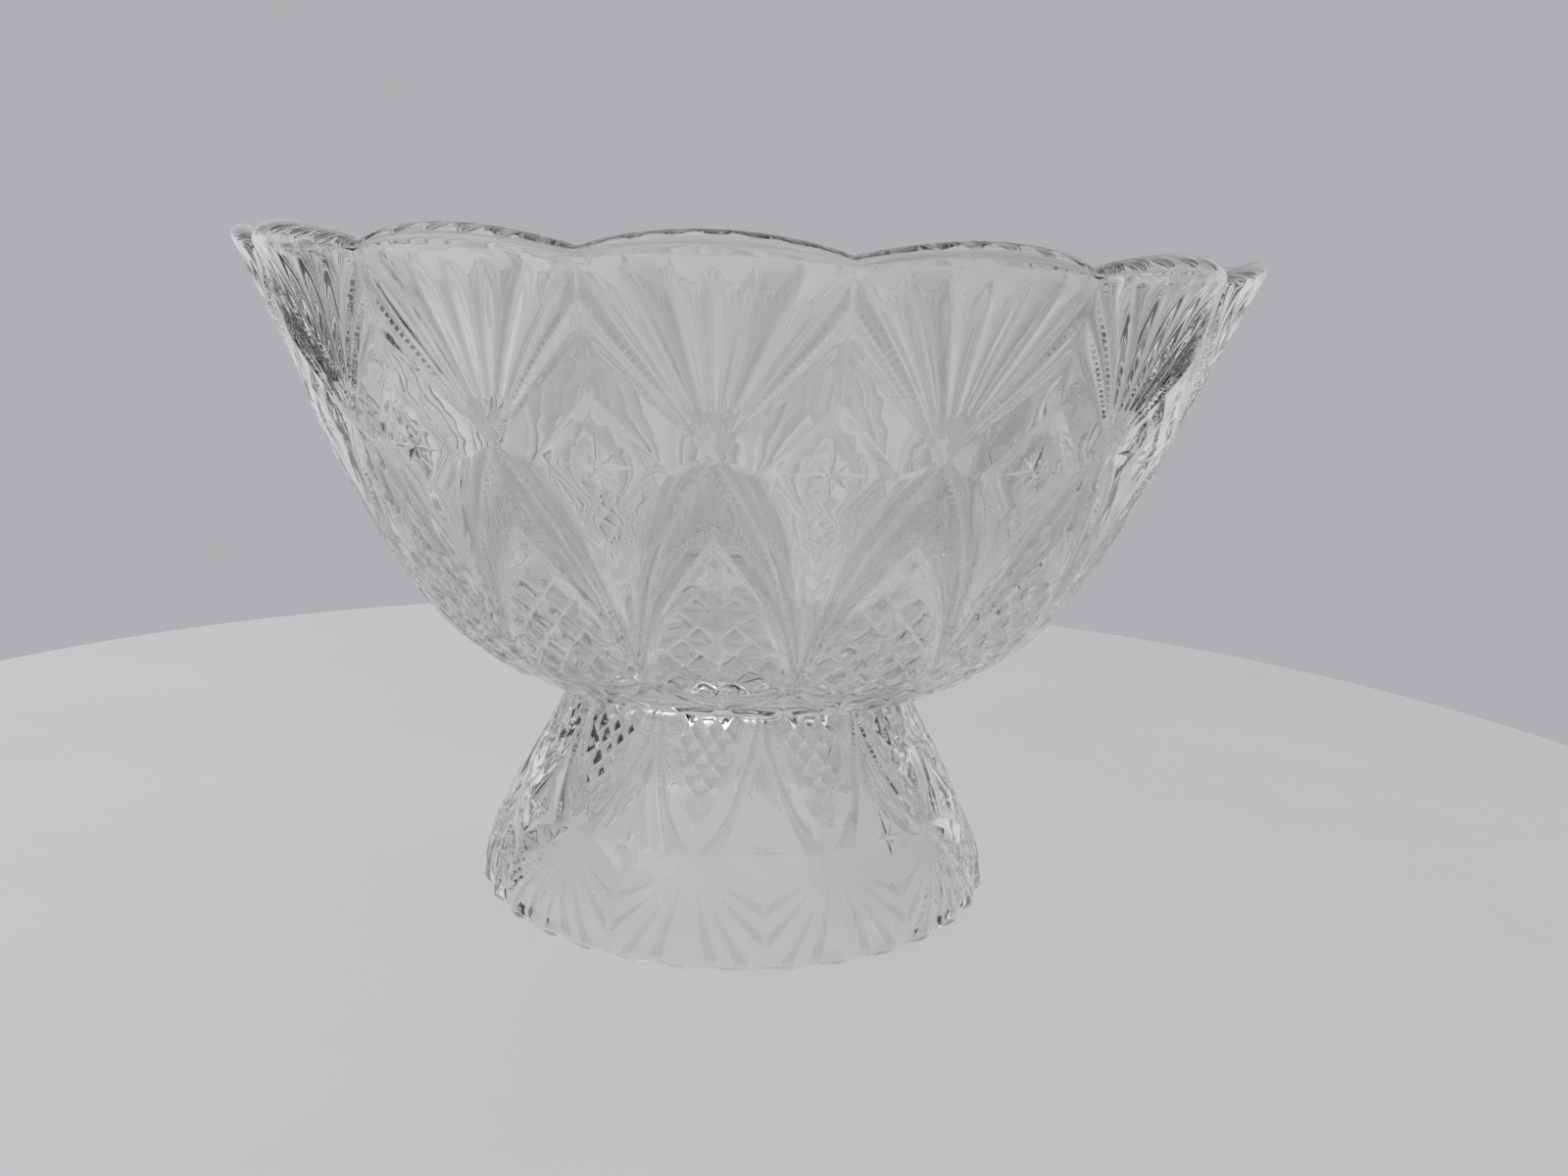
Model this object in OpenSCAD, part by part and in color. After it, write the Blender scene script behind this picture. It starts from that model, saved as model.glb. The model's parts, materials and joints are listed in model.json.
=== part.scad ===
// Pressed-glass punch bowl on its own stand: two loose pieces of clear glass.
// Millimetres, +Z up. The origin is the centre of the stand's foot, on the table.

/* [Overall] */
// height of the scallop tops above the table
rim_h = 205; // [203:0.5:207]
// greatest radius of the bowl at the rim
rim_r = 156; // [154:0.5:158]
// number of scallops round the bowl's rim, and of fans below them
bowl_n = 15; // [12:1:16]
// number of fans round the stand
stand_n = 11; // [10:1:12]

/* [Bowl] */
// wall thickness of the bowl
wall = 5.4; // [5:0.1:6]
// how far the scallops rise above the notches between them
scallop_rise = 5; // [3:0.5:6]
// thickness of the glass in the middle of the floor
floor_t = 7; // [6:0.5:9]
// height at which a fan of flutes starts
fan_z = 153.5; // [150:0.5:158]
// depth of a flute at its wide end, near the rim
flute_d = 1.3; // [0.8:0.1:1.8]

/* [Stand] */
// height of the stand's seat above the table
seat_z = 75; // [74.5:0.1:75.5]
// wall thickness of the stand
stand_wall = 5; // [4.6:0.1:5.4]
// height at which the stand's fans start
stand_fan_z = 31.5; // [29:0.5:34]
// depth of the stand's flutes at the foot
stand_flute_d = 1.8; // [1:0.1:2.2]
// how far the stand is turned under the bowl, in degrees
stand_turn = -6.2; // [-16:0.1:16]

/* [Seat] */
// how far the bowl's foot ring hangs down round the stand's collar
ring_drop = 1.6; // [1.2:0.1:2]
// gap between the foot ring and the collar
ring_gap = 0.8; // [0.5:0.1:1.2]

/* [Hidden] */
$fn = 96;
glass = [0.86, 0.90, 0.91, 0.45];
step_b = 360 / bowl_n;
step_s = 360 / stand_n;
lip = rim_r - 156;

// outside of the bowl from its foot to the rim: [radius, height]
bowl_out = [[71, seat_z - ring_drop], [76, seat_z - ring_drop + 1], [85.3, 79.8],
    [92.5, 85.2], [104.2, 99], [114.8, 115], [124.4, 132.5], [133.2, 151.5], [156.5 + lip, 208]];
// inside of the bowl from the rim to the floor
bowl_in = [[156.5 - wall + lip, 208], [133.2 - wall * 1.12, 151.5], [124.4 - wall * 1.18, 132.5],
    [114.8 - wall * 1.26, 115], [104.2 - wall * 1.42, 99.6], [92.5 - wall * 1.42, 90],
    [80, seat_z + floor_t + 1.6], [66, seat_z + floor_t], [0, seat_z + floor_t]];
// radius of the bowl's outside at a height
function bowl_r(z) = lookup(z, [for (p = bowl_out) [p[1], p[0]]]);

// outside of the stand from the foot to the shoulder
stand_out = [[82.6, 0], [84, 1.4], [84, 5], [83.1, 9], [81.4, 14], [79.4, 18], [76.8, 24],
    [73.9, 30], [67.5, 42], [60.8, 53], [57, 62], [54.4, 69], [52.6, 73], [51, seat_z]];
thin = 5 - stand_wall;
stand_in = concat([[44.5, seat_z], [44.5, 72.4], [43, 71.4], [0, 71.4], [0, 66.4]],
    [for (p = [[46, 66.4], [49.6, 64], [51.8, 61], [55.4, 52.4], [62, 41], [68.6, 29], [73, 21],
        [76.2, 13], [78.2, 6], [78.6, 0]]) [p[0] + thin, p[1]]]);
function stand_r(z) = lookup(z, [for (p = stand_out) [p[1], p[0]]]);

// a point on the outside, pushed out by o: angle a from the -Y side, height z
function on_bowl(a, z, o) = [(bowl_r(z) + o) * sin(a), -(bowl_r(z) + o) * cos(a), z];
function on_stand(a, z, o) = [(stand_r(z) + o) * sin(a), -(stand_r(z) + o) * cos(a), z];

// a flat-bottomed wedge with its point at p and its wide end from q to s, cut h deep from outside
module wedge(p, q, s, h) {
    x = (s - q) / norm(s - q);
    c = p - q;
    y = (c - (c * x) * x) / norm(c - (c * x) * x);
    n = cross(x, y);
    w = norm(s - q);
    multmatrix([[x[0], y[0], n[0], q[0]], [x[1], y[1], n[1], q[1]], [x[2], y[2], n[2], q[2]],
        [0, 0, 0, 1]])
        mirror([0, 0, 1]) linear_extrude(height = h) polygon([[0, 0], [w, 0], [c * x, c * y]]);
}

// what is cut from one scallop's width of the rim: everything above its arch
module arch_cutter() {
    half = 154 * sin(step_b / 2);
    rad = (half * half + scallop_rise * scallop_rise) / (2 * scallop_rise);
    arch = [for (i = [-7:7]) [i * half / 6, rim_h - rad + sqrt(rad * rad - pow(i * half / 6, 2))]];
    intersection() {
        rotate([0, 0, -90])
            linear_extrude(height = 230)
                polygon([[0, 0], [200, -200 * tan(step_b / 2) - 0.1], [200, 200 * tan(step_b / 2) + 0.1]]);
        translate([0, -125, 0])
            rotate([90, 0, 0])
                linear_extrude(height = 50)
                    polygon(concat(arch, [[half * 7 / 6, 225], [-half * 7 / 6, 225]]));
    }
}

module punch_bowl() {
    color(glass)
    difference() {
        rotate_extrude($fn = 180)
            polygon(concat([[52.6 + ring_gap, seat_z], [52.6 + ring_gap + 0.8, seat_z - ring_drop]],
                bowl_out, bowl_in, [[0, seat_z + 1.5], [43, seat_z + 1.5], [44.5, seat_z]]));
        // arched rim
        for (i = [0:bowl_n - 1]) rotate([0, 0, i * step_b]) arch_cutter();
        // notch between two scallops, running out down the wall
        for (i = [0:bowl_n - 1]) rotate([0, 0, (i + 0.5) * step_b])
            wedge(on_bowl(0, 180, 0.2), on_bowl(-1.6, 207, -2.6), on_bowl(1.6, 207, -2.6), 9);
        // fan of six flutes below each scallop
        for (i = [0:bowl_n - 1], k = [-5:2:5]) rotate([0, 0, i * step_b])
            wedge(on_bowl(0.15 * k, fan_z + 1, 0.1), on_bowl((k - 0.8) * step_b / 12, 197, -flute_d),
                on_bowl((k + 0.8) * step_b / 12, 197, -flute_d), 6);
    }
}

module stand() {
    color(glass)
    rotate([0, 0, stand_turn]) difference() {
        rotate_extrude($fn = 180) polygon(concat(stand_out, stand_in));
        // flutes of the fans, which make the foot's edge wavy
        for (i = [0:stand_n - 1], k = [-1, 1]) rotate([0, 0, i * step_s])
            wedge(on_stand(k * 0.8, stand_fan_z - 1, 0.1),
                on_stand((k + 0.8) * step_s / 6, -0.5, -stand_flute_d),
                on_stand((k - 0.8) * step_s / 6, -0.5, -stand_flute_d), 6);
        for (i = [0:stand_n - 1]) rotate([0, 0, (i + 0.5) * step_s])
            wedge(on_stand(0, 24, 0.1), on_stand(0.8 * step_s / 6, -0.5, -stand_flute_d),
                on_stand(-0.8 * step_s / 6, -0.5, -stand_flute_d), 6);
        // upright mitre between two arches above the fans
        for (i = [0:stand_n - 1]) rotate([0, 0, (i + 0.5) * step_s])
            wedge(on_stand(0, 46, 0.1), on_stand(-3, 66, -0.9), on_stand(3, 66, -0.9), 5);
    }
}

stand();
punch_bowl();
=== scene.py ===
import bpy, json, math
import numpy as np
from mathutils import Matrix, Vector, geometry
from mathutils.kdtree import KDTree

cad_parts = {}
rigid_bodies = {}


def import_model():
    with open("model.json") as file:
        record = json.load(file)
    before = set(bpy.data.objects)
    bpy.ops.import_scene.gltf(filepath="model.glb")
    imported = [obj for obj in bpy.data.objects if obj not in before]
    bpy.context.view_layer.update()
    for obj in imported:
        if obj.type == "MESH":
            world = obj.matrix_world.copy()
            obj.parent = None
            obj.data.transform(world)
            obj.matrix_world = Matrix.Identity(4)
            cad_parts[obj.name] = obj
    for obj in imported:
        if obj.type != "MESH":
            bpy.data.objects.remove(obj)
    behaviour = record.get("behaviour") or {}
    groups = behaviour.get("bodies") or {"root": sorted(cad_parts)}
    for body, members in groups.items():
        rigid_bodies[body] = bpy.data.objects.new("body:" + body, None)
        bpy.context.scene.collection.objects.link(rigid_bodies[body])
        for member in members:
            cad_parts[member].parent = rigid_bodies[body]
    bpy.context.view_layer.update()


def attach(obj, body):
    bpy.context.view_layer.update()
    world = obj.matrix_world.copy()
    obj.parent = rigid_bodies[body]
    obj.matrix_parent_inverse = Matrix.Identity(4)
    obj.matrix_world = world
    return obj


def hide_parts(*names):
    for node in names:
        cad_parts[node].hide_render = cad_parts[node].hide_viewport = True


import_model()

# ---------------------------------------------------------------- driving dimensions
# Millimetres and degrees. An angle runs from the middle of a fan on the piece's -Y side.
BOWL_REPEATS = 15  # scallops round the rim, one over each fan
BOWL_HALF = 180 / BOWL_REPEATS
RIM_TOP = 205
SCALLOP_RISE = 5
SCALLOP_HALF_WIDTH = 32.0
LIP_DROP = 3.4  # the rounded lip starts this far under the rim
LIP_ROUND = 0.86  # height of the lip's arc, as a share of half the wall's thickness
FLOOR_TOP = 82.0  # inside the bowl
BOWL_UNDERSIDE = 76.5
STAND_REPEATS = 11  # fans round the stand
STAND_HALF = 180 / STAND_REPEATS
STAND_TURN = -6.216  # how far the stand is turned under the bowl
STAND_FOOT = 1.3  # height at which the stand's pattern begins
STAND_SHOULDER = 72.6  # and at which it ends
STAND_BAND = 71.0  # lower line of the plain band under the shoulder
FOOT_WAVE = 1.8  # depth of the waves in the stand's foot
RECESS_FLOOR = 71.4  # of the recess in the stand's collar
STAND_CEILING = 66.4  # of the hollow inside the stand
WELD = 0.012  # points closer than this are one
SHARP_ANGLE = 115  # edges that turn by more than this shade sharp


# ---------------------------------------------------------------- pressed-glass relief
# A piece is a body of revolution whose outside carries a pressed pattern. One half of one
# repeat of the pattern is drawn as creases over (angle, length along the outline), each
# point with a depth under the outline. The half is triangulated along its creases,
# mirrored and turned round the axis. Lengths are millimetres until the mesh is made.


def smooth(x):
    x = min(1.0, max(0.0, x))
    return x * x * (3 - 2 * x)


def spline(pts, n):
    """n points, evenly spaced, on a smooth curve through pts (the ends are exact)."""
    through = [np.array(q, float) for q in pts]
    first, last = through[0], through[-1]
    if len(through) == 2:
        dense = [first + (last - first) * i / 60 for i in range(61)]
    else:
        dense = [first]
        ends = [2 * first - through[1]] + through + [2 * last - through[-2]]
        for a, b, c, d in zip(ends, ends[1:], ends[2:], ends[3:]):
            ka, kb, kc = (max(1e-6, np.linalg.norm(v)) ** 0.5 for v in (b - a, c - b, d - c))
            m1 = (c - b) + kb * ((b - a) / ka - (c - a) / (ka + kb))
            m2 = (c - b) + kb * ((d - c) / kc - (d - b) / (kb + kc))
            for j in range(1, 25):
                t = j / 24
                dense.append((2 * t**3 - 3 * t * t + 1) * b + (t**3 - 2 * t * t + t) * m1
                             + (-2 * t**3 + 3 * t * t) * c + (t**3 - t * t) * m2)
    dense = np.array(dense)
    s = np.r_[0, np.cumsum(np.linalg.norm(np.diff(dense, axis=0), axis=1))]
    at = np.linspace(0, s[-1], n)
    return np.stack([np.interp(at, s, dense[:, k]) for k in range(dense.shape[1])], 1)


def left_normals(points):
    """Unit vectors to the left of a line of 2-D points."""
    d = np.gradient(points, axis=0)
    d /= np.linalg.norm(d, axis=1)[:, None]
    return np.stack([-d[:, 1], d[:, 0]], 1)


class Outline:
    """The outline of a body of revolution through (radius, height) points, lowest first."""

    def __init__(self, pts):
        self.line = spline(pts, 900)
        self.normal = -left_normals(self.line)
        self.length = np.r_[0, np.cumsum(np.linalg.norm(np.diff(self.line, axis=0), axis=1))]

    def s(self, z):
        """Length along the outline at a height."""
        return float(np.interp(z, self.line[:, 1], self.length))

    def z(self, s):
        """Height at a length along the outline."""
        return float(np.interp(s, self.length, self.line[:, 1]))

    def at(self, s, depth=0.0):
        """Radius and height of the point that lies depth under the outline."""
        r, z, a, b = (float(np.interp(s, self.length, v)) for v in (*self.line.T, *self.normal.T))
        return r - depth * a, z - depth * b


def crosses(a, b, c, d):
    """Where the segment from a to b crosses c to d, as fractions of both; or None."""
    r = (b[0] - a[0], b[1] - a[1])
    v = (d[0] - c[0], d[1] - c[1])
    det = r[0] * v[1] - r[1] * v[0]
    if abs(det) < 1e-9:
        return None
    x = ((c[0] - a[0]) * v[1] - (c[1] - a[1]) * v[0]) / det
    y = ((c[0] - a[0]) * r[1] - (c[1] - a[1]) * r[0]) / det
    return (x, y) if 0.02 < x <= 1 and 0 <= y <= 1 else None


class Border:
    """A closed outline in the pattern, as (angle, length) points."""

    def __init__(self, line, per_degree):
        self.pts = [(float(t), float(s)) for t, s, _ in line]
        self.sides = list(zip(self.pts, self.pts[1:] + self.pts[:1]))
        self.per_degree = per_degree

    def holds(self, t, s):
        hit = False
        for (a, b), (c, d) in self.sides:
            if (b > s) != (d > s) and t < (c - a) * (s - b) / (d - b) + a:
                hit = not hit
        return hit

    def gap(self, t, s):
        """Distance to the nearest side, leaving out those on the middle line of the repeat."""
        best = 1e9
        for a, b in self.sides:
            if a[0] < 0.02 and b[0] < 0.02:
                continue
            p, q, r = (np.array([x * self.per_degree, y]) for x, y in (a, b, (t, s)))
            v = q - p
            h = min(1.0, max(0.0, float(np.dot(r - p, v) / max(1e-9, np.dot(v, v)))))
            best = min(best, float(np.linalg.norm(r - p - h * v)))
        return best

    def corner_beyond(self, a, b):
        """The border's point nearest to where the line from a to b leaves it."""
        for c, d in self.sides:
            cut = crosses(a, b, c, d)
            if cut:
                return c if cut[1] < 0.5 else d
        return None


class Relief:
    """Half a repeat of the pattern: points (angle, length, depth) and the creases between them. Each point
    also carries a painted shade value; below zero it greys the glass there, which darkens the hollows.
    """

    def __init__(self, outline, half, middle_radius, fall):
        self.outline = outline
        self.half = half
        self.per_degree = math.radians(middle_radius)
        self.fall = fall
        self.pts, self.tone, self.ids, self.edges = [], [], {}, {}

    def p(self, t, z, depth=0.0):
        return (t, self.outline.s(z), depth)

    def place(self, p):
        """Angle, radius and height of a point of the pattern."""
        t, s, depth = p
        return (t, *self.outline.at(s, depth + self.fall(t, self.outline.z(s))))

    def key(self, t, s):
        return (round(t, 2), round(s, 1))

    def add(self, p, tone=0.0):
        t, s, depth = (float(v) for v in p)
        t = 0.0 if t < 0.02 else self.half if t > self.half - 0.02 else t
        key = self.key(t, s)
        if key not in self.ids:
            self.ids[key] = len(self.pts)
            self.pts.append([t, s, depth])
            self.tone.append(tone)
        return self.ids[key]

    def edge(self, a, b, sharp=False):
        if a != b:
            e = (min(a, b), max(a, b))
            self.edges[e] = self.edges.get(e, False) or sharp

    def link(self, ids):
        """A crease from each numbered point to the next."""
        for a, b in zip(ids, ids[1:]):
            self.edge(a, b)

    def join(self, points, tone=0.0):
        """Adds points and a crease from each to the next; returns their numbers."""
        ids = [self.add(q, tone) for q in points]
        self.link(ids)
        return ids

    def curve(self, pts, step=1.7, n=None, tone=0.0):
        """A crease through the points; returns its samples."""
        flat = [(t * self.per_degree, s, depth) for t, s, depth in pts]
        length = sum(math.dist(a[:2], b[:2]) for a, b in zip(flat, flat[1:]))
        n = n or max(2, int(round(length / step)) + 1)
        c = spline(flat, n)
        c[:, 0] /= self.per_degree
        c[0], c[-1] = pts[0], pts[-1]
        self.join(c, tone)
        return c

    def offset(self, c, dist, depth, start=None):
        """A crease dist mm to the left of another, ended where it leaves the half repeat.
        With a start it begins there, at the first sample that lies beyond it."""
        q = np.array([[t * self.per_degree, s] for t, s, _ in c])
        q = q + dist * left_normals(q)
        lim = self.half * self.per_degree
        ok = (q[:, 0] > 0.25) & (q[:, 0] < lim - 0.25)
        i0, i1 = np.flatnonzero(ok)[[0, -1]]
        run = list(q[i0:i1 + 1])
        if start is not None:
            corner = np.array([start[0] * self.per_degree, start[1]])
            run = [corner] + [v for v in run if v[0] > corner[0] + 0.5]
        elif i0 > 0:
            a, b = q[i0 - 1], q[i0]
            run = [a + (b - a) * (0 - a[0]) / (b[0] - a[0])] + run
        if i1 < len(q) - 1:
            a, b = q[i1], q[i1 + 1]
            run.append(a + (b - a) * (lim - a[0]) / (b[0] - a[0]))
        out = np.array([[x / self.per_degree, s, depth] for x, s in run])
        self.join(out)
        return out

    def strip(self, ca, cb, depth, tone=0.0, rows=None, step=1.7, fade=(0.12, 0.12), most=5, soft=1.0):
        """Points between two creases, hollowed by depth: a flute, a leaf or (depth 0) a flat.
        The outer ones lie soft mm from the creases, which sets how broad each crease is rounded. The strip's
        points get the given painted shade, weaker where the strip is narrow."""
        n = rows or max(len(ca), len(cb))
        at = np.linspace(0, 1, n)
        side_a, side_b = (np.stack([np.interp(at, np.linspace(0, 1, len(c)), c[:, k]) for k in range(3)], 1)
                          for c in (ca, cb))
        for i in range(1, n - 1):
            a, b = side_a[i], side_b[i]
            width = math.hypot((a[0] - b[0]) * self.per_degree, a[1] - b[1])
            w = i / (n - 1)
            ease = min(1.0, w / fade[0]) ** 0.7
            if fade[1] > 0:
                ease *= min(1.0, (1 - w) / fade[1]) ** 0.7
            hollow = min(depth * ease, 0.24 * width)
            for u in self.across(width, step, most, soft):
                q = a * (1 - u) + b * u
                q[2] += hollow * (0.8 - abs(2 * u - 1) ** 3)
                self.add(q, tone * min(1.0, width / 4))

    def across(self, width, step, most, soft):
        """Fractions of a strip's width at which its points lie."""
        if width < 1.2:
            return []
        if width < 2.2:
            return [0.5]
        if width < 3.4:
            return [0.27, 0.5, 0.73]
        g = min(soft, 0.22 * width) / width
        m = min(most, max(1, int((width * (1 - 2 * g)) / step)))
        return [g] + [g + (1 - 2 * g) * j / (m + 1) for j in range(1, m + 1)] + [1 - g]

    def hatch(self, line, pitch, start, cut, edge, tone):
        """Rows of flat-topped diamonds inside a border, between crossing cuts.
        pitch is (degrees, mm) from a cut's crossing to the next diamond, start the length of
        the first row, cut the depth of the cuts and edge the depth reached at the border.
        The diamonds' tops get the given painted shade, the cuts none."""
        border = Border(line, self.per_degree)
        dt, ds = pitch
        low_t, low_s = (min(x) for x in zip(*border.pts))
        high_t, high_s = (max(x) for x in zip(*border.pts))
        cuts, diamonds = {}, []
        for i in range(0, int(high_t / dt) + 2):
            for j in range(int((low_s - start) / ds) - 2, int((high_s - start) / ds) + 3):
                t, s = i * dt, start + j * ds
                if t > self.half or not border.holds(max(t, 0.03), s) or border.gap(t, s) <= 0.9:
                    continue
                near = min(1.0, border.gap(t, s) / 2.5)
                if (i + j) % 2:
                    self.add((t, s, edge * (1 - near)), tone)
                    diamonds.append((t, s))
                else:
                    cuts[i, j] = self.add((t, s, cut * near + edge * (1 - near)))
        for t, s in diamonds:
            self.flat_top(border, t, s, pitch, tone)
        for (i, j), a in cuts.items():
            for di, dj in ((1, 1), (1, -1), (-1, 1), (-1, -1)):
                if i + di < 0:
                    continue
                b = cuts.get((i + di, j + dj))
                if b is None:
                    # run the cut out to the border
                    ahead = ((i + di) * dt, start + (j + dj) * ds)
                    end = border.corner_beyond((i * dt, start + j * ds), ahead)
                    b = self.ids.get(self.key(*end)) if end else None
                if b is not None:
                    self.edge(a, b)

    def flat_top(self, border, t, s, pitch, tone):
        """The flat top of one diamond, where it lies inside the border, with the given painted shade."""
        rim = []
        for di, dj in ((1, 0), (0, 1), (-1, 0), (0, -1)):
            q = (t + 0.70 * di * pitch[0], s + 0.70 * dj * pitch[1])
            ok = 0.02 < q[0] < self.half - 0.02 and border.holds(*q) and border.gap(*q) > 0.6
            rim.append(self.add((*q, 0.1), tone) if ok else None)
        for a, b in zip(rim, rim[1:] + rim[:1]):
            if a is not None and b is not None:
                self.edge(a, b)

    def star(self, height, depth, reaches, inner_reach, field):
        """An eight-pointed star on the side line of the half repeat, cut depth deep at its
        centre into a field. reaches are its rays in mm, from the top round to the bottom."""
        s0 = self.outline.s(height)
        mm = 1 / self.per_degree

        def ray(angle, reach):
            q = math.radians(angle)
            return self.add((self.half + reach * math.cos(q) * mm, s0 + reach * math.sin(q), field))

        centre = self.add((self.half, s0, depth))
        tips = [ray(90 + 45 * i, reach) for i, reach in enumerate(reaches)]
        inner = [ray(112.5 + 45 * i, inner_reach) for i in range(4)]
        for i, tip in enumerate(tips):
            self.edge(centre, tip, True)
            if i:
                self.edge(tip, inner[i - 1], True)
            if i < 4:
                self.edge(tip, inner[i], True)
        for q in inner:
            self.edge(centre, q, True)

    def triangulate(self):
        """Vertices (angle, radius, height, painted shade), triangles and sharp edges of the half repeat."""
        for side in (0.0, self.half):
            self.link(sorted((i for i, p in enumerate(self.pts) if p[0] == side),
                             key=lambda i: self.pts[i][1]))
        creases = list(self.edges)
        v, e, f, from_point, from_crease, _ = geometry.delaunay_2d_cdt(
            [Vector((t * self.per_degree, s)) for t, s, _ in self.pts], creases, [], 1, 1e-4)
        known = np.array([[t * self.per_degree, s, depth] for t, s, depth in self.pts])
        out = []
        for q, source in zip(v, from_point):
            if len(source):
                point, tone = self.pts[source[0]], self.tone[source[0]]
            else:
                near = np.argsort((known[:, 0] - q[0]) ** 2 + (known[:, 1] - q[1]) ** 2)[:3]
                point = (q[0] / self.per_degree, q[1], float(known[near, 2].mean()))
                tone = float(np.mean([self.tone[i] for i in near]))
            out.append((*self.place(point), tone))
        sharp = [tuple(sorted(q)) for q, source in zip(e, from_crease)
                 if any(self.edges[creases[k]] for k in source if k < len(creases))]
        tris = []
        for t in f:
            a, b, c = (v[i] for i in t)
            turn = (b[0] - a[0]) * (c[1] - a[1]) - (b[1] - a[1]) * (c[0] - a[0])
            if abs(turn) > 1e-7:
                tris.append(tuple(t) if turn > 0 else tuple(reversed(t)))
        return out, tris, sharp


def skin(rows, out, tris):
    """Joins rows of (angle, radius, height) into faces, each row above the last as seen from
    the side that shows. Returns the numbers of the first and of the last row."""
    ids = []
    for row in rows:
        ids.append(range(len(out), len(out) + len(row)))
        out.extend(row)
    for lo, hi in zip(ids, ids[1:]):
        for i in range(len(lo) - 1):
            tris += [(lo[i], lo[i + 1], hi[i + 1]), (lo[i], hi[i + 1], hi[i])]
    return ids[0], ids[-1]


def cap(row, height, out, tris, up):
    """Closes a row with a disc that reaches the axis and faces up or down."""
    centre = len(out)
    out.append((0.0, 0.0, height))
    for a, b in zip(row, row[1:]):
        tris.append((a, b, centre) if up else (b, a, centre))


def rings(angles, profile):
    """Plain rows, one through each (radius, height) of a profile."""
    return [[(t, r, z) for t in angles] for r, z in profile]


def weld(points, faces, creases):
    """Makes one of the points closer than WELD; returns those in use, faces and creases."""
    tree = KDTree(len(points))
    for i, v in enumerate(points):
        tree.insert(v, i)
    tree.balance()
    same = np.full(len(points), -1)
    for i, v in enumerate(points):
        if same[i] < 0:
            for _, j, _ in tree.find_range(v, WELD):
                if same[j] < 0:
                    same[j] = i
    faces, creases = same[faces], same[creases]
    a, b, c = faces.T
    faces = faces[(a != b) & (b != c) & (a != c)]
    used = np.unique(faces)
    number = np.full(len(points), -1)
    number[used] = np.arange(len(used))
    return used, number[faces], number[creases]


def mark_sharp(mesh, creases):
    """Flags the creases as sharp, besides the edges that are already."""
    ends = np.zeros(len(mesh.edges) * 2, dtype=np.int32)
    mesh.edges.foreach_get("vertices", ends)
    ends = np.sort(ends.reshape(-1, 2), axis=1).astype(np.int64)
    creases = np.sort(creases, axis=1)
    many = 10**7
    hit = np.isin(ends[:, 0] * many + ends[:, 1], creases[:, 0] * many + creases[:, 1])
    flags = np.zeros(len(mesh.edges), dtype=bool)
    att = mesh.attributes.get("sharp_edge") or mesh.attributes.new("sharp_edge", "BOOLEAN", "EDGE")
    att.data.foreach_get("value", flags)
    att.data.foreach_set("value", flags | hit)


def revolve(name, out, tris, sharp, count, turn=0.0):
    """Mirrors and turns half a repeat into the whole closed piece, and welds it."""
    step = 360 / count
    angle, r, z = (np.array([p[k] for p in out]) for k in range(3))
    half_faces, half_creases = np.array(tris), np.array(sharp).reshape(-1, 2)
    points, faces, creases = [], [], []
    for k in range(count):
        for side in (1, -1):
            first = len(out) * len(points)
            around = math.radians(k * step + turn) + side * np.radians(angle)
            faces.append((half_faces if side == 1 else half_faces[:, ::-1]) + first)
            creases.append(half_creases + first)
            points.append(np.stack([r * np.sin(around), -r * np.cos(around), z], 1))
    points = np.concatenate(points)
    used, faces, creases = weld(points, np.concatenate(faces), np.concatenate(creases))
    tone = np.tile([p[3] if len(p) > 3 else 0.0 for p in out], 2 * count)[used]
    mesh = bpy.data.meshes.new(name)
    mesh.from_pydata((points[used] / 1000).tolist(), [], faces.tolist())
    mesh.update()
    mesh.shade_smooth()
    mesh.set_sharp_from_angle(angle=math.radians(SHARP_ANGLE))
    mark_sharp(mesh, creases)
    # painted shade of each point, which the glass material reads to grey the hollows
    att = mesh.attributes.new("relief_tone", "FLOAT", "POINT")
    att.data.foreach_set("value", tone.astype(np.float32))
    piece = bpy.data.objects.new(name, mesh)
    bpy.context.collection.objects.link(piece)
    edges = np.sort(np.concatenate([faces[:, [0, 1]], faces[:, [1, 2]], faces[:, [2, 0]]]), axis=1)
    _, uses = np.unique(edges, axis=0, return_counts=True)
    print(f"{name}: {len(faces)} triangles, {int((uses != 2).sum())} open edges, {len(creases)} sharp")
    return piece


# ---------------------------------------------------------------- the bowl
BOWL_COLUMNS = [BOWL_HALF * i / 18 for i in range(19)]
BOWL_OUTSIDE = Outline([(71, 73.4), (76, 74.6), (80.6, 77.0), (85.3, 80.2), (92.5, 86.0), (98.4, 91.8),
                        (104.2, 99), (109.6, 107), (114.8, 115.5), (119.8, 124), (124.4, 133),
                        (128.9, 142), (133.2, 151.5), (137.2, 162), (145.0, 180), (156.8, 208)])
BOWL_INSIDE = Outline([(0, FLOOR_TOP), (20, FLOOR_TOP), (45, 82.05), (60, 82.4), (70, 83.4), (77.6, 86.0),
                       (84.8, 91.0), (91.2, 96.6), (97.0, 103.5), (103.0, 111.6), (109.2, 121.0),
                       (115.0, 131.2), (120.0, 141.5), (124.6, 152.0), (128.8, 162.4), (138.0, 182.6),
                       (150.6, 208.0)])
# foot ring, the seat that rests on the stand's collar and the underside, from outside to inside
BOWL_SEAT = [(73.2, 73.55), (71.4, 73.4), (55.0, 73.4), (54.2, 73.5), (53.5, 74.9), (53.2, 75.0),
             (44.6, 75.0), (44.2, 75.2), (43.2, 76.4), (42.6, BOWL_UNDERSIDE), (22.0, BOWL_UNDERSIDE)]


def petal(t, z):
    """How far the outside falls back toward the notch between two scallops."""
    return 3.6 * (t / BOWL_HALF) ** 2.4 * smooth((z - 166) / 34)


def flute_end(t):
    """Height of the line that the flutes run up against, under the rim's plain band."""
    return 199.4 - 2.2 * (t / BOWL_HALF) ** 2


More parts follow.
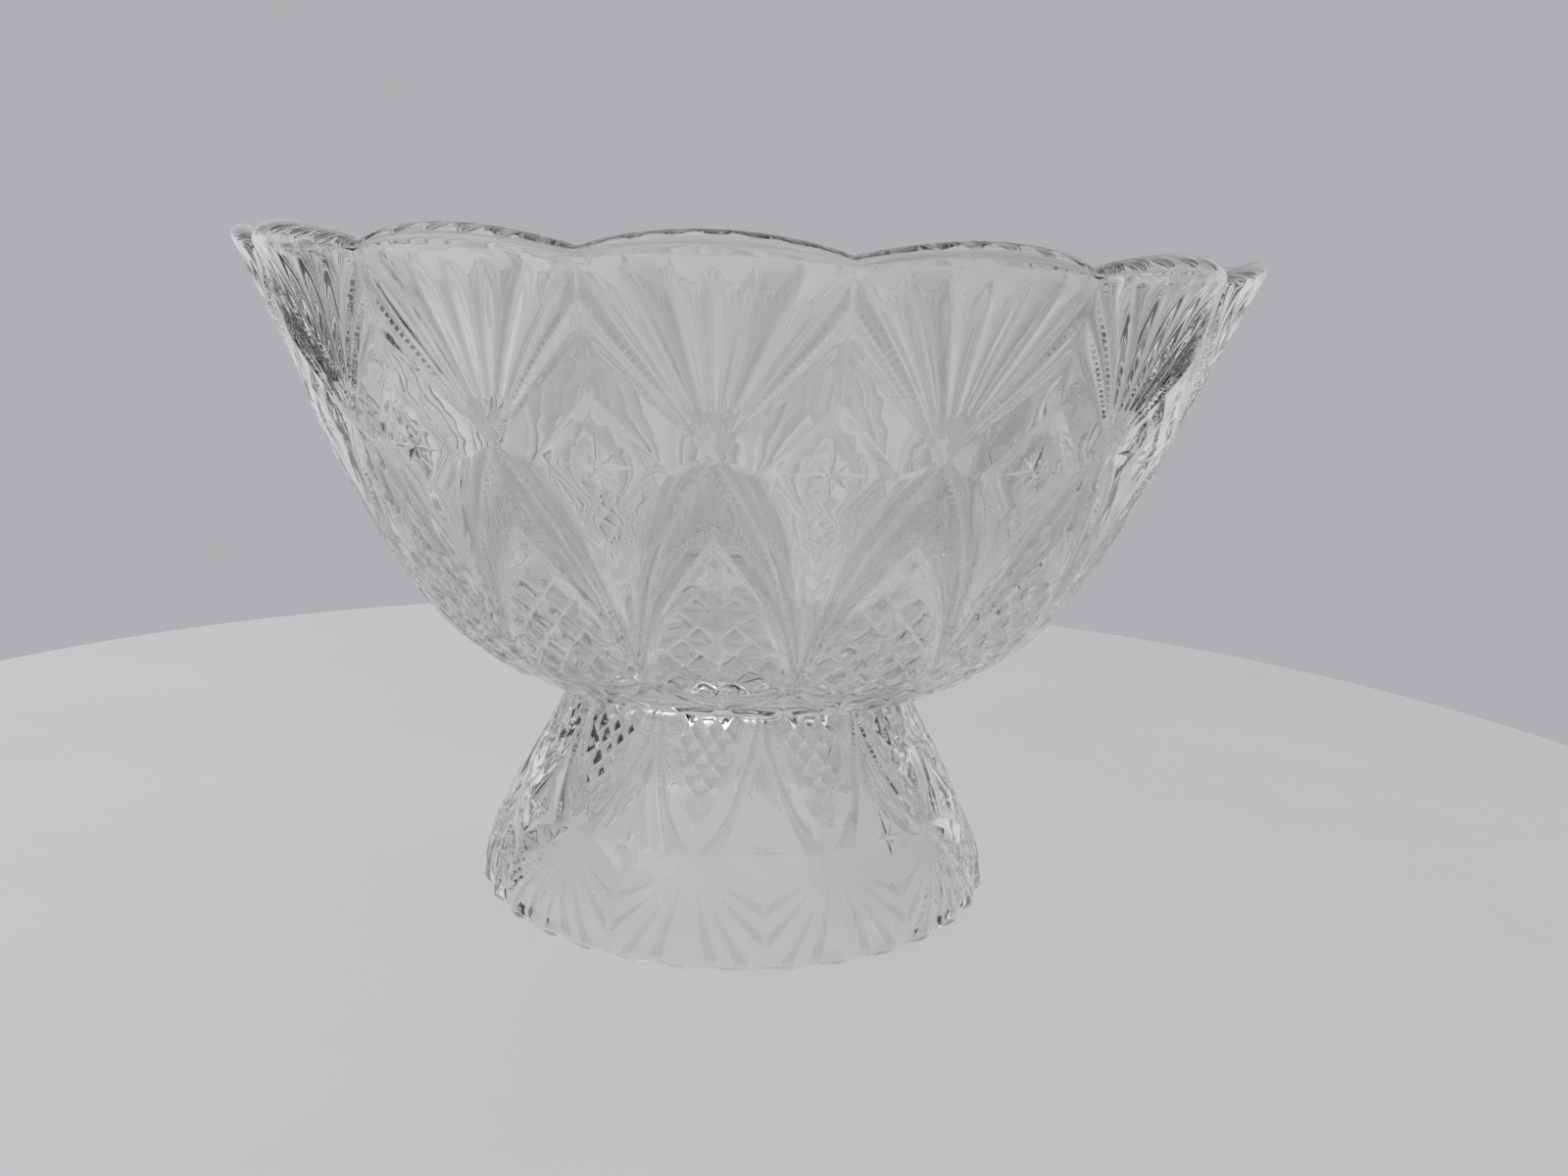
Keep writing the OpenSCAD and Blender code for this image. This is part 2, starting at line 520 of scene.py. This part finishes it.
def rim_height(t):
    """Height of the rim, which is an arc over each fan."""
    radius = (SCALLOP_HALF_WIDTH**2 + SCALLOP_RISE**2) / (2 * SCALLOP_RISE)
    x = SCALLOP_HALF_WIDTH * t / BOWL_HALF
    return RIM_TOP - radius + math.sqrt(radius * radius - x * x)


def bowl_fan(m, apex):
    """Ridges from the apex to the band and to the mitre between two scallops, with hollow
    flutes between them; returns the lowest ridge."""
    p, side = m.p, m.half
    ends = [p(0, 197.8, 0.25), p(4, 197.8, 0.25), p(8, 197.2, 0.25), p(side, 195.6, 0.3),
            p(side, 188.4, 0.4), p(side, 180, 0.8)]
    # depth of each flute and its painted shade, which greys every other flute
    depths_and_tones = [(1.2, 0.0), (1.2, -0.8), (1.2, 0.0), (1.1, -1.0), (1.0, 0.0)]
    ridges = [m.curve([apex, end], n=26) for end in ends]
    for a, b, (depth, tone) in zip(ridges, ridges[1:], depths_and_tones):
        m.strip(a, b, depth, tone, rows=26, fade=(0.2, 0.16))
    return ridges[-1]


def bowl_arches(m, apex, corner):
    """Leaves and pointed arches below a fan, with the facets and the hatching under them.
    Returns the diamond's lower side and the bottom line of the pattern."""
    p, side = m.p, m.half
    foot = p(side, 88.8, 0.3)
    outer = m.curve([apex, p(2.1, 146.6, 0.6), p(3.84, 139.5, 0.5), p(7.15, 124, 0.1), p(9.67, 107, 0.1),
                     foot], n=38)
    diamond_side = m.curve([corner, p(7.25, 139.7, 0.2), p(8.85, 129.2, 0.2), p(10.8, 110.3, 0.2),
                            p(side, 96.5, 0.3)], n=38)
    peak = p(0, 133, 0.3)
    inner = m.curve([peak, p(2.4, 126.6, 0.1), p(4.6, 119.8, 0.0), p(7.7, 108.9, 0.0), p(10.0, 98.5, 0.1),
                     foot], n=38)
    # painted shade greys the line from the apex down to the inner arch's peak, the leaves, the band, the lens
    # and the hatching's diamonds
    m.curve([apex, p(0, 148, 1.5), p(0, 142, 1.5), p(0, 136, 1.1), peak], step=1.8, tone=-1.0)
    m.strip(outer, diamond_side, 1.1, -0.9, fade=(0.15, 0.1))
    m.strip(outer, inner, 1.1, -1.0, fade=(0.15, 0.1))
    # the inner arch is a double line: a groove and a second ridge inside it
    m.offset(inner, -1.0, 0.85)
    second = m.offset(inner, -2.0, 0.1)
    # smooth band under the hatching, and the lens between two arches
    edge = m.curve([p(0, 77.4, 0.3), p(4.5, 78.9, 0.3), p(8.3, 82.4, 0.3), foot], n=17)
    band = m.curve([p(0, 82.6, 1.2), p(4.2, 83.3, 1.1), p(7.6, 85.2, 0.9), second[-1]], n=17)
    m.strip(band, edge, 0.7, -1.0, fade=(0.1, 0.2), most=2, soft=0.6)
    bottom = [p(t, 76.4 - 2.0 * smooth(t / side), 1.3 - 1.3 * smooth(t / side)) for t in BOWL_COLUMNS]
    m.join(bottom)
    m.strip(np.array(bottom), edge, 0.9, -1.0, rows=17, fade=(0.3, 0.05), soft=0.7)
    m.hatch([*second, *band[-2::-1]], pitch=(2.45, 5.5), start=m.outline.s(112.8), cut=1.5, edge=0.15,
            tone=-0.9)
    return diamond_side, bottom


def bowl_pattern():
    """The bowl's relief; returns it with its bottom line."""
    m = Relief(BOWL_OUTSIDE, BOWL_HALF, middle_radius=125, fall=petal)
    p, side = m.p, m.half
    apex, corner = p(0, 153.5, 1.2), p(4.7, 149.5, 0.5)
    lowest_ridge = bowl_fan(m, apex)
    m.join([p(t, flute_end(t)) for t in BOWL_COLUMNS])
    # plain slanting panel between the fan and the diamond
    m.curve([apex, corner], step=1.6)
    diamond_top = m.curve([corner, p(side, 168, 0.2)], n=26)
    m.strip(lowest_ridge, diamond_top, 0.0, rows=26, step=3.0, most=4, soft=0.8)
    diamond_side, bottom = bowl_arches(m, apex, corner)
    # diamond: field a little sunk, with a star cut into it
    field = 0.8
    m.star(height=150.2, depth=1.35, reaches=(9.4, 6.6, 10.2, 6.6, 9.4), inner_reach=2.7, field=field)
    field_corner = p(6.45, 150.3)
    m.offset(diamond_top, -1.3, field, start=field_corner)
    m.offset(diamond_side, 1.3, field, start=field_corner)
    for z in (130, 118):
        m.add(p(side, z, field))
    for t, z in ((10.4, 136), (11.2, 124), (9.2, 155), (10.4, 160)):
        m.add(p(t, z, field + 0.05))
    return m, bottom


def bowl_wall(t, s):
    """A point on the inside of the bowl."""
    r, z = BOWL_INSIDE.at(s)
    return r - 1.9 * (t / BOWL_HALF) ** 2.4 * smooth((z - 182) / 20), z


def bowl_column(m, t, band_rows=3, lip_rows=9, wall_rows=46):
    """One column of points from the end of the flutes over the lip to the floor."""
    start, end = m.outline.s(flute_end(t)), m.outline.s(rim_height(t) - LIP_DROP)
    band = [m.place((t, start + (end - start) * i / band_rows, 0.0)) for i in range(band_rows)]
    # the lip is half an ellipse over the slanting wall, from its outside to its inside
    _, r_out, z_out = m.place((t, end, 0.0))
    s_in = BOWL_INSIDE.s(z_out + 1.9)
    r_in, z_in = bowl_wall(t, s_in)
    r_mid, z_mid = (r_out + r_in) / 2, (z_out + z_in) / 2
    dr, dz = r_out - r_mid, z_out - z_mid
    lip, wall = [], []
    for i in range(lip_rows):
        f = math.pi * i / (lip_rows - 1)
        lip.append((t, r_mid + dr * math.cos(f) - dz * LIP_ROUND * math.sin(f),
                    z_mid + dz * math.cos(f) + dr * LIP_ROUND * math.sin(f)))
    for i in range(wall_rows):
        w = (i + 1) / (wall_rows + 1)
        wall.append((t, *bowl_wall(t, s_in * (1 - w) ** 1.05)))
    return band + lip + wall


def make_bowl():
    m, bottom = bowl_pattern()
    out, tris, sharp = m.triangulate()
    _, floor_edge = skin(list(zip(*[bowl_column(m, t) for t in BOWL_COLUMNS])), out, tris)
    cap(floor_edge, FLOOR_TOP, out, tris, up=True)
    under = [[m.place(q) for q in bottom]] + rings(BOWL_COLUMNS, BOWL_SEAT)
    under_edge, _ = skin(under[::-1], out, tris)
    cap(under_edge, BOWL_UNDERSIDE, out, tris, up=False)
    return revolve("bowl_glass", out, tris, sharp, BOWL_REPEATS)


# ---------------------------------------------------------------- the stand
STAND_OUTSIDE = Outline([(83.9, 0.6), (84.0, 3.0), (83.7, 6.5), (82.6, 11), (81.2, 15), (79.4, 19),
                         (76.8, 24.5), (73.9, 30.3), (70.8, 36), (67.5, 42), (64.0, 48), (60.7, 54),
                         (57.8, 60), (55.4, 66), (53.6, 71), (52.6, 74.2)])
STAND_INSIDE = Outline([(79.0, 0.9), (78.5, 2.0), (77.9, 6.5), (76.2, 13), (73, 21), (68.6, 29), (65.4, 35),
                        (62, 41), (56.6, 50.4), (53.2, 57.6), (50.6, 62.6), (47.4, 65.2), (42, 66.2),
                        (22, STAND_CEILING), (0, STAND_CEILING)])
# shoulder, the collar that the bowl rests on and the recess in it, from outside to inside
STAND_COLLAR = [(52.2, 73.9), (51.7, 74.6), (51.0, 74.85), (44.9, 74.85), (44.4, 74.6), (44.2, 72.5),
                (43.4, 71.6), (42.8, RECESS_FLOOR), (22.0, RECESS_FLOOR)]


def wave(t, z):
    """How far the outside falls back between the waves of the foot, three to a fan."""
    return FOOT_WAVE * (0.5 - 0.5 * math.cos(3 * math.pi * t / STAND_HALF)) * smooth((13 - z) / 12)


def stand_fan(m, apex):
    """Bowed ridges from the apex down to the foot and out to the mitre between two fans, with
    hollow flutes between them; returns the highest ridge."""
    p, side = m.p, m.half
    ends = [p(t, STAND_FOOT, 0.1) for t in (0, 4.36, 7.64, 10.91, 14.18)]
    ends += [p(side, 6.4, 0.2), p(side, 11.2, 0.2), p(side, 15.4, 0.2), p(side, 19.2, 0.3)]
    bows = (0, 0.3, 0.6, 0.8, 0.9, 1.0, 1.2, 1.3, 1.4)
    # depth of each flute and its painted shade, which greys every other flute
    depths_and_tones = [(1.6, 0.0), (1.6, -0.9), (1.6, 0.0), (1.6, -0.9), (1.5, 0.0), (1.4, -0.9),
                        (1.3, 0.0), (1.2, -0.8)]
    ridges = []
    for end, bow in zip(ends, bows):
        middle = (end[0] * 0.5 + 0.1 * bow, apex[1] * 0.5 + end[1] * 0.5 - 1.1 * bow, 0.8)
        ridges.append(m.curve([apex, middle, end], n=15))
    for i, (depth, tone) in enumerate(depths_and_tones):
        # the first four flutes run out through the foot
        fade = (0.3, 0.0 if i < 4 else 0.1)
        m.strip(ridges[i], ridges[i + 1], depth, tone, rows=15, fade=fade, most=3, soft=0.7)
    return ridges[-1]


def stand_arches(m, apex, corner):
    """V-shaped arches between the fans and the bowl, with hatching between them.
    Returns the kite's upper side and the angles along the top edge."""
    p, side = m.p, m.half
    kite_side = m.curve([corner, p(9.2, 38.6, 0.2), p(12.0, 47.7, 0.2), p(14.4, 56.5, 0.2),
                         p(side, 65.5, 0.3)], n=28)
    outer = m.curve([apex, p(3.6, 35.8, 1.0), p(6.6, 40.7, 0.3), p(9.4, 47.6, 0.1), p(11.9, 55.6, 0.1),
                     p(13.9, 64, 0.1), p(15.3, STAND_SHOULDER, 0.1)], n=28)
    # painted shade greys the leaf between the outer arch and the kite, and the hatching's diamonds
    m.strip(outer, kite_side, 1.2, -0.7, fade=(0.2, 0.1), most=3, soft=0.7)
    # groove between the arch's two lines
    m.curve([p(0, 34.9, 1.6), p(2.6, 37.8, 0.9), p(5.4, 42.3, 0.9), p(8.3, 49.2, 0.9), p(10.8, 56.8, 0.9),
             p(12.8, 64.8, 0.8), p(14.2, STAND_SHOULDER, 0.1)], n=28)
    inner = m.curve([p(0, 38.0, 1.0), p(1.6, 39.6, 0.4), p(4.2, 43.9, 0.2), p(7.2, 50.6, 0.1),
                     p(9.7, 58.0, 0.1), p(11.7, 65.6, 0.1), p(13.1, STAND_SHOULDER, 0.1)], n=28)
    top = (0.0, 1.5, 3.2, 4.9, 6.6, 8.3, 10.0, 11.6, 13.1, 14.2, 15.3, side)
    top_ids = m.join([p(t, STAND_SHOULDER, 0.1) for t in top])
    # plain band under the top edge, down to which the hatching reaches
    line = m.curve([p(t, STAND_BAND, 0.1) for t in (0, 6.3, 12.7)], n=9)
    sides = [q for q in inner if q[1] < m.outline.s(STAND_BAND) - 0.5]
    m.hatch([*sides, *line[::-1]], pitch=(2.75, 3.65), start=m.outline.s(51.0), cut=1.4, edge=0.12,
            tone=-0.7)
    return kite_side, [m.pts[i][0] for i in top_ids]


def stand_pattern():
    """The stand's relief; returns it with its bottom line and the angles along its top."""
    m = Relief(STAND_OUTSIDE, STAND_HALF, middle_radius=72, fall=wave)
    p, side = m.p, m.half
    apex, corner = p(0, 31.5, 1.2), p(6.3, 30.6, 0.3)
    highest_ridge = stand_fan(m, apex)
    foot_s = m.outline.s(STAND_FOOT)
    for i in range(16):
        m.add((side * i / 15, foot_s, 0.1))
    # every point on the bottom line, from the middle of the fan outward
    foot = sorted((i for i, q in enumerate(m.pts) if abs(q[1] - foot_s) < 0.06),
                  key=lambda i: m.pts[i][0])
    m.link(foot)
    # plain panel between the fan and the kite
    m.curve([apex, corner], step=1.5)
    kite_low = m.curve([corner, p(11.2, 28.6, 0.1), p(side, 24.4, 0.2)], n=15)
    m.strip(highest_ridge, kite_low, 0.0, rows=15, most=3)
    kite_side, top = stand_arches(m, apex, corner)
    # kite: field sunk, with a star cut into it and a sunk facet above the star, darker by painted shade
    field = 0.9
    m.star(height=32.0, depth=1.6, reaches=(9.0, 4.6, 7.2, 4.0, 5.6), inner_reach=1.9, field=field)
    field_corner = p(8.3, 31.2)
    m.offset(kite_low, 1.2, field, start=field_corner)
    m.offset(kite_side, -1.2, field, start=field_corner)
    m.curve([p(13.4, 48.3, field), p(side, 46.4, 1.5)], step=1.6)
    m.add(p(side, 52, 1.3), -0.9)
    m.add(p(15.2, 54, 1.1), -0.9)
    return m, [m.pts[i] for i in foot], top


def make_stand():
    m, foot, top = stand_pattern()
    out, tris, sharp = m.triangulate()
    # rounded foot, its flat ring on the table, then the inside up to the ceiling
    base = [m.place(q) for q in foot]
    angles = [q[0] for q in base]
    under = [base]
    for inward, height in ((0.35, 0.65), (1.0, 0.12), (1.7, 0.0)):
        under.append([(t, r - inward, height) for t, r, _ in base])
    # halfway across the ring the waves are half as deep
    under.append([(t, (r - 1.7) / 2 + 80.2 / 2, 0.0) for t, r, _ in base])
    inside_rows = 40
    inside = [STAND_INSIDE.at(STAND_INSIDE.length[-1] * (i / inside_rows) ** 0.98)
              for i in range(inside_rows)]
    under += rings(angles, [(79.9, 0.0), (79.35, 0.25)] + inside)
    ceiling_edge, _ = skin(under[::-1], out, tris)
    cap(ceiling_edge, STAND_CEILING, out, tris, up=False)
    shoulder = m.outline.at(m.outline.s(STAND_SHOULDER), 0.1)
    _, collar_edge = skin(rings(top, [shoulder] + STAND_COLLAR), out, tris)
    cap(collar_edge, RECESS_FLOOR, out, tris, up=True)
    return revolve("stand_glass", out, tris, sharp, STAND_REPEATS, turn=STAND_TURN)


# ---------------------------------------------------------------- materials
def new_node(nt, kind, inputs):
    """A shader node with some of its inputs set."""
    node = nt.nodes.new(kind)
    for name, value in inputs.items():
        node.inputs[name].default_value = value
    return node


def noise(nt, coordinates, scale, detail):
    """A noise texture over the piece's own coordinates."""
    node = new_node(nt, "ShaderNodeTexNoise", {"Scale": scale, "Detail": detail})
    nt.links.new(coordinates.outputs["Object"], node.inputs["Vector"])
    return node


def map_range(nt, value, source, target):
    """A value taken from one range to another."""
    node = new_node(nt, "ShaderNodeMapRange", {"From Min": source[0], "From Max": source[1],
                                               "To Min": target[0], "To Max": target[1]})
    nt.links.new(value, node.inputs["Value"])
    return node.outputs["Result"]


def multiply(nt, factor, color1, color2):
    """Two colours multiplied; each input is a socket or a constant."""
    node = nt.nodes.new("ShaderNodeMixRGB")
    node.blend_type = "MULTIPLY"
    for name, value in (("Fac", factor), ("Color1", color1), ("Color2", color2)):
        if isinstance(value, bpy.types.NodeSocket):
            nt.links.new(value, node.inputs[name])
        else:
            node.inputs[name].default_value = value
    return node.outputs["Color"]


def color_between(nt, value, positions, colors):
    """A ramp from one colour to another, between two positions of a value."""
    ramp = nt.nodes.new("ShaderNodeValToRGB")
    for stop, position, color in zip(ramp.color_ramp.elements, positions, colors):
        stop.position = position
        stop.color = (*color, 1)
    nt.links.new(value, ramp.inputs["Fac"])
    return ramp.outputs["Color"]


def new_material(name):
    """A material with its node tree, its shader and the node of its coordinates."""
    mat = bpy.data.materials.new(name)
    mat.use_nodes = True
    nt = mat.node_tree
    return mat, nt, nt.nodes["Principled BSDF"], nt.nodes.new("ShaderNodeTexCoord")


def glass(name, tint, seed):
    mat, nt, bsdf, co = new_material(name)
    bsdf.inputs["IOR"].default_value = 1.5
    bsdf.inputs["Transmission Weight"].default_value = 1.0
    # faint cloudiness of the melt and a trace of the grey of soda glass
    cloud = noise(nt, co, scale=22, detail=3)
    cloud.noise_dimensions = "4D"
    cloud.inputs["W"].default_value = seed
    melt = color_between(nt, cloud.outputs["Fac"], (0.3, 0.7), ([c * 0.985 for c in tint], tint))
    # painted shade: the hollow facets get a greyer glass than the ridges between them, so that they read
    # darker
    tone = nt.nodes.new("ShaderNodeAttribute")
    tone.attribute_name = "relief_tone"
    hollow = map_range(nt, tone.outputs["Fac"], (-1, 0), (1, 0))
    nt.links.new(multiply(nt, hollow, melt, (0.74, 0.73, 0.73, 1)), bsdf.inputs["Base Color"])
    # fire-polished skin: nearly smooth, with a slightly duller bloom in patches
    bloom = noise(nt, co, scale=55, detail=4)
    nt.links.new(map_range(nt, bloom.outputs["Fac"], (0.35, 0.75), (0.0, 0.035)), bsdf.inputs["Roughness"])
    # soft ripples left by the mould
    ripple = noise(nt, co, scale=70, detail=2)
    bump = new_node(nt, "ShaderNodeBump", {"Strength": 0.25, "Distance": 0.0006})
    nt.links.new(ripple.outputs["Fac"], bump.inputs["Height"])
    nt.links.new(bump.outputs["Normal"], bsdf.inputs["Normal"])
    return mat


def plain(name, color, roughness, mottle):
    """A dull surface, darker by mottle in soft patches."""
    mat, nt, bsdf, co = new_material(name)
    patches = noise(nt, co, scale=9, detail=5)
    dark = [c * (1 - mottle) for c in color]
    shade = color_between(nt, patches.outputs["Fac"], (0.35, 0.65), (dark, color))
    nt.links.new(shade, bsdf.inputs["Base Color"])
    bsdf.inputs["Roughness"].default_value = roughness
    return mat


GLASS_TINT = (0.945, 0.94, 0.935)
bowl = make_bowl()
bowl.data.materials.append(glass("bowl_glass_clear", GLASS_TINT, seed=1.0))
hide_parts("punch_bowl")
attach(bowl, "bowl")
stand = make_stand()
stand.data.materials.append(glass("stand_glass_clear", GLASS_TINT, seed=7.0))
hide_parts("stand")
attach(stand, "stand")
for ob in (bowl, stand):
    ob.visible_shadow = False
    ob.visible_diffuse = False


# ---------------------------------------------------------------- table, light, camera
# Metres from here on.
TABLE_RADIUS = 0.425
TABLE_THICKNESS = 0.022
TABLE_PLACE = (-0.006, 0.001, 0)
TABLE_SIDES = 180
CARD_SIZE = (1.9, 1.3)
CARD_COLOR = (0.13, 0.105, 0.10)
WALL_COLOR = (0.434, 0.428, 0.448, 1)
# brightness of the room by height, from below to straight up
ROOM_BY_HEIGHT = [(0.0, 0.42), (0.46, 0.50), (0.58, 0.50), (0.70, 0.62), (1.0, 0.72)]
# brightness round the room: 0 and 1 at -X, 0.25 at -Y, 0.5 at +X, 0.75 at +Y
ROOM_ROUND = [(0.0, 0.12), (0.06, 0.2), (0.10, 1.0), (0.16, 0.7), (0.30, 0.6), (0.40, 1.0), (0.44, 0.2),
              (0.50, 0.12), (0.57, 0.2), (0.61, 1.4), (0.67, 1.4), (0.70, 0.85), (0.75, 1.0), (0.80, 1.15),
              (0.83, 1.4), (0.89, 1.4), (0.93, 0.2)]


def add_object(name, data):
    ob = bpy.data.objects.new(name, data)
    bpy.context.collection.objects.link(ob)
    return ob


def make_table():
    """A round table top with a rounded edge, its top just under the stand's foot."""
    top, n = -0.0002, TABLE_SIDES
    edge = [(TABLE_RADIUS - 0.006, top), (TABLE_RADIUS - 0.002, -0.0012), (TABLE_RADIUS, -0.005),
            (TABLE_RADIUS, -0.018), (TABLE_RADIUS - 0.004, -TABLE_THICKNESS)]
    verts, faces = [(0, 0, top)], []
    for r, z in edge:
        verts += [(r * math.cos(2 * math.pi * i / n), r * math.sin(2 * math.pi * i / n), z) for i in range(n)]
    verts.append((0, 0, -TABLE_THICKNESS))
    for i in range(n):
        j = (i + 1) % n
        faces.append((0, 1 + i, 1 + j))
        for k in range(len(edge) - 1):
            faces.append((1 + k * n + i, 1 + (k + 1) * n + i, 1 + (k + 1) * n + j, 1 + k * n + j))
        faces.append((len(verts) - 1, 1 + (len(edge) - 1) * n + j, 1 + (len(edge) - 1) * n + i))
    mesh = bpy.data.meshes.new("floor")
    mesh.from_pydata(verts, [], faces)
    mesh.materials.append(plain("floor_pale", (0.80, 0.80, 0.805), roughness=0.55, mottle=0.02))
    table = add_object("floor", mesh)
    table.location = TABLE_PLACE
    return table


def grey_ramp(nt, value, stops):
    """A ramp of greys with (position, brightness) stops."""
    node = nt.nodes.new("ShaderNodeValToRGB")
    elements = node.color_ramp.elements
    while len(elements) < len(stops):
        elements.new(0.5)
    for element, (position, v) in zip(elements, stops):
        element.position = position
        element.color = (v, v * 0.995, v * 1.015, 1)
    nt.links.new(value, node.inputs["Fac"])
    return node.outputs["Color"]


def make_room():
    """The room that lights the glass; the camera itself sees a plain wall."""
    world = bpy.data.worlds.new("studio")
    bpy.context.scene.world = world
    world.use_nodes = True
    nt = world.node_tree
    link = nt.links.new
    background = nt.nodes["Background"]
    background.inputs["Strength"].default_value = 1.0
    co = nt.nodes.new("ShaderNodeTexCoord")
    # dim below, the pale wall at eye level and a bright ceiling
    axes = nt.nodes.new("ShaderNodeSeparateXYZ")
    link(co.outputs["Generated"], axes.inputs["Vector"])
    by_height = grey_ramp(nt, map_range(nt, axes.outputs["Z"], (-1, 1), (0, 1)), ROOM_BY_HEIGHT)
    # dark to left and right, lighter toward the camera, two bright windows on the far side
    around = nt.nodes.new("ShaderNodeTexGradient")
    around.gradient_type = "RADIAL"
    link(co.outputs["Generated"], around.inputs["Vector"])
    room = multiply(nt, 1.0, by_height, grey_ramp(nt, around.outputs["Fac"], ROOM_ROUND))
    path = nt.nodes.new("ShaderNodeLightPath")
    seen_or_lit = new_node(nt, "ShaderNodeMixRGB", {"Color2": WALL_COLOR})
    link(path.outputs["Is Camera Ray"], seen_or_lit.inputs["Fac"])
    link(room, seen_or_lit.inputs["Color1"])
    link(seen_or_lit.outputs["Color"], background.inputs["Color"])


def aim(ob, place, target, axis):
    """Puts an object at a place with one of its axes turned toward a target."""
    ob.location = place
    ob.rotation_euler = (Vector(target) - Vector(place)).to_track_quat(axis, "Y").to_euler()


def area_light(name, place, target, size, power):
    light = bpy.data.lights.new(name, "AREA")
    light.shape = "RECTANGLE"
    light.size, light.size_y = size
    light.energy = power
    ob = add_object(name, light)
    aim(ob, place, target, "-Z")
    ob.visible_camera = False


def dark_card(name, place, target):
    """A dark card beside the table, seen only in and through the glass."""
    w, h = CARD_SIZE[0] / 2, CARD_SIZE[1] / 2
    mesh = bpy.data.meshes.new(name)
    mesh.from_pydata([(-w, -h, 0), (w, -h, 0), (w, h, 0), (-w, h, 0)], [], [(0, 1, 2, 3)])
    mesh.materials.append(plain(name + "_cloth", CARD_COLOR, roughness=0.9, mottle=0.1))
    card = add_object(name, mesh)
    aim(card, place, target, "Z")
    card.visible_camera = False
    card.visible_shadow = False
    card.visible_diffuse = False


def place_camera(around, pitch, yaw, roll, distance, height, lens):
    """A camera distance out on the -Y side, turned round the Z axis by around; angles in degrees."""
    around, pitch, yaw, roll = (math.radians(v) for v in (around, pitch, yaw, roll))
    spin = Matrix.Rotation(around, 3, "Z")
    forward = Vector((math.sin(yaw) * math.cos(pitch), math.cos(yaw) * math.cos(pitch), -math.sin(pitch)))
    right = Vector((math.cos(yaw), -math.sin(yaw), 0))
    up = right.cross(forward)
    rolled_right = right * math.cos(roll) + up * math.sin(roll)
    rolled_up = up * math.cos(roll) - right * math.sin(roll)
    data = bpy.data.cameras.new("camera")
    data.sensor_width = 36
    data.lens = lens
    data.clip_start = 0.02
    camera = add_object("camera", data)
    axes = Matrix([spin @ rolled_right, spin @ rolled_up, -(spin @ forward)]).transposed()
    camera.matrix_world = Matrix.Translation(spin @ Vector((0, -distance, height))) @ axes.to_4x4()
    bpy.context.scene.camera = camera


floor = make_table()
make_room()
area_light("key", (-0.9, -0.3, 1.7), target=(0, 0, 0.1), size=(2.3, 2.3), power=12.5)
dark_card("flag_left", (-1.2, -0.15, 0.3), target=(0, 0, 0.15))
dark_card("flag_right", (1.2, -0.15, 0.3), target=(0, 0, 0.15))
# a few degrees toward +X, just below the height of the rim
place_camera(around=3.384, pitch=11.858, yaw=1.661, roll=2.216, distance=0.4674, height=0.1942,
             lens=33.22)

scene = bpy.context.scene
scene.view_settings.view_transform = "Standard"
scene.view_settings.look = "None"
scene.cycles.max_bounces = 28
scene.cycles.transmission_bounces = 28
scene.cycles.glossy_bounces = 12
scene.cycles.diffuse_bounces = 4
scene.cycles.transparent_max_bounces = 8
scene.cycles.sample_clamp_indirect = 6
scene.cycles.blur_glossy = 0.6
